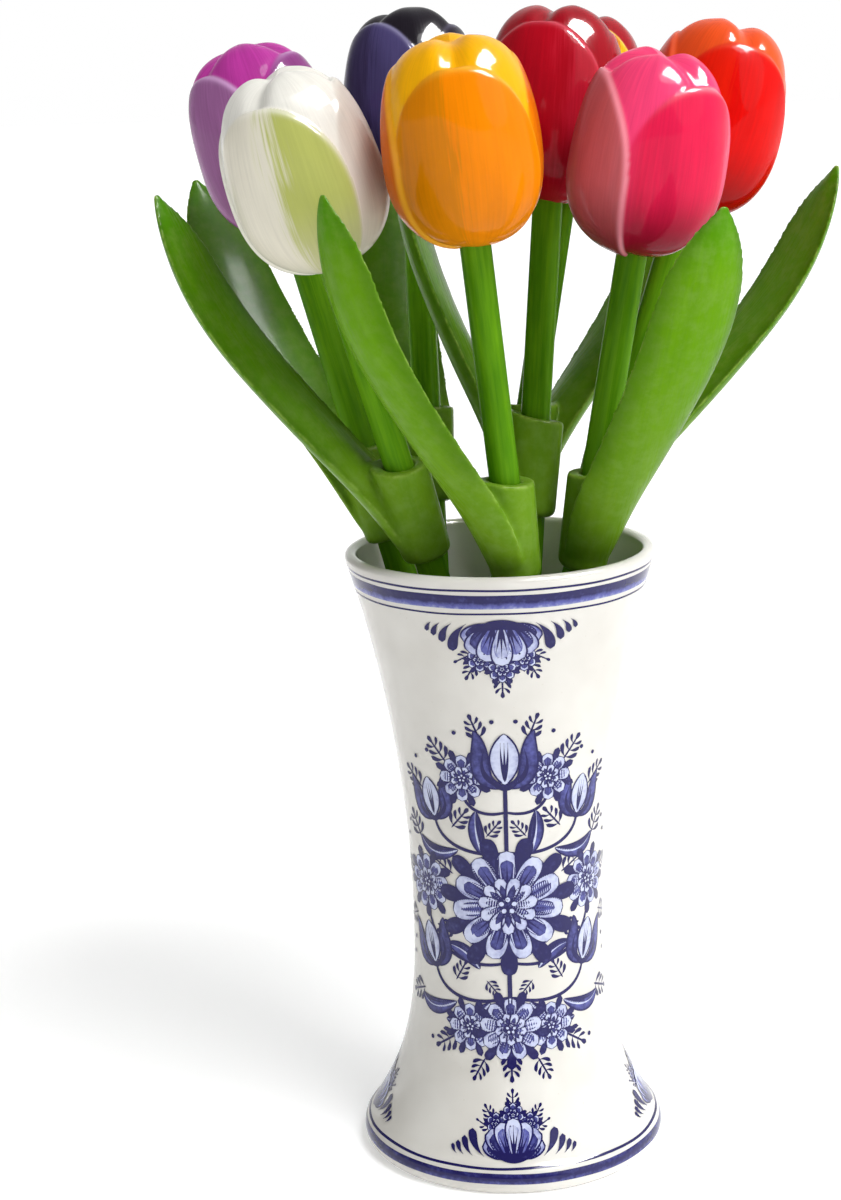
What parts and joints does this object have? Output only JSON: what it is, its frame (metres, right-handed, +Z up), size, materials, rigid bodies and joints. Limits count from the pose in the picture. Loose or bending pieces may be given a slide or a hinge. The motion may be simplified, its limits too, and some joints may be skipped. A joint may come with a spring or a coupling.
{
  "type": "wooden tulips in a vase",
  "caption": "Bunch of painted wooden tulips with carved heads and trough-shaped leaves on dowel stems, standing loose in a waisted, glazed, blue and white vase.",
  "frame": {"origin": "on the vase's axis, on the surface that its foot ring stands on", "axes": "+Z up the vase's axis, -Y towards the viewer of the picture, +X to the viewer's right"},
  "size_m": [0.2028, 0.1763, 0.349],
  "materials": {
    "glaze": "gloss",
    "leaf_green": "gloss lacquer",
    "stem_green": "gloss lacquer",
    "orange_paint": "gloss lacquer",
    "pink_paint": "gloss lacquer",
    "white_paint": "gloss lacquer",
    "crimson_paint": "gloss lacquer",
    "purple_paint": "gloss lacquer",
    "dark_paint": "gloss lacquer",
    "red_paint": "gloss lacquer",
    "yellow_paint": "gloss lacquer"
  },
  "bodies": {
    "vase": {"vase": "glaze"},
    "orange_tulip": {"orange_head": "orange_paint", "orange_stem": "stem_green", "orange_leaf": "leaf_green"},
    "pink_tulip": {"pink_head": "pink_paint", "pink_stem": "stem_green", "pink_leaf": "leaf_green"},
    "white_tulip": {"white_head": "white_paint", "white_stem": "stem_green", "white_leaf": "leaf_green"},
    "crimson_tulip": {"crimson_head": "crimson_paint", "crimson_stem": "stem_green", "crimson_leaf": "leaf_green"},
    "purple_tulip": {"purple_head": "purple_paint", "purple_stem": "stem_green", "purple_leaf": "leaf_green"},
    "dark_tulip": {"dark_head": "dark_paint", "dark_stem": "stem_green", "dark_leaf": "leaf_green"},
    "red_tulip": {"red_head": "red_paint", "red_stem": "stem_green", "red_leaf": "leaf_green"},
    "yellow_tulip": {"yellow_head": "yellow_paint", "yellow_stem": "stem_green", "yellow_leaf": "leaf_green"}
  },
  "joints": [
    {"name": "orange_lift", "type": "slide", "parent": "vase", "child": "orange_tulip", "axis": [-0.0953, -0.1361, 0.9861], "range_m": [0, 0.21]},
    {"name": "pink_lift", "type": "slide", "parent": "vase", "child": "pink_tulip", "axis": [0.156, -0.1695, 0.9731], "range_m": [0, 0.21]},
    {"name": "white_lift", "type": "slide", "parent": "vase", "child": "white_tulip", "axis": [-0.2592, -0.1402, 0.9556], "range_m": [0, 0.21]},
    {"name": "crimson_lift", "type": "slide", "parent": "vase", "child": "crimson_tulip", "axis": [0.078, 0.1282, 0.9887], "range_m": [0, 0.21]},
    {"name": "purple_lift", "type": "slide", "parent": "vase", "child": "purple_tulip", "axis": [-0.2679, 0.0981, 0.9584], "range_m": [0, 0.21]},
    {"name": "dark_lift", "type": "slide", "parent": "vase", "child": "dark_tulip", "axis": [-0.0267, 0.2565, 0.9662], "range_m": [0, 0.21]},
    {"name": "red_lift", "type": "slide", "parent": "vase", "child": "red_tulip", "axis": [0.2958, 0.0475, 0.9541], "range_m": [0, 0.21]},
    {"name": "yellow_lift", "type": "slide", "parent": "vase", "child": "yellow_tulip", "axis": [0.1726, 0.223, 0.9594], "range_m": [0, 0.21]}
  ]
}
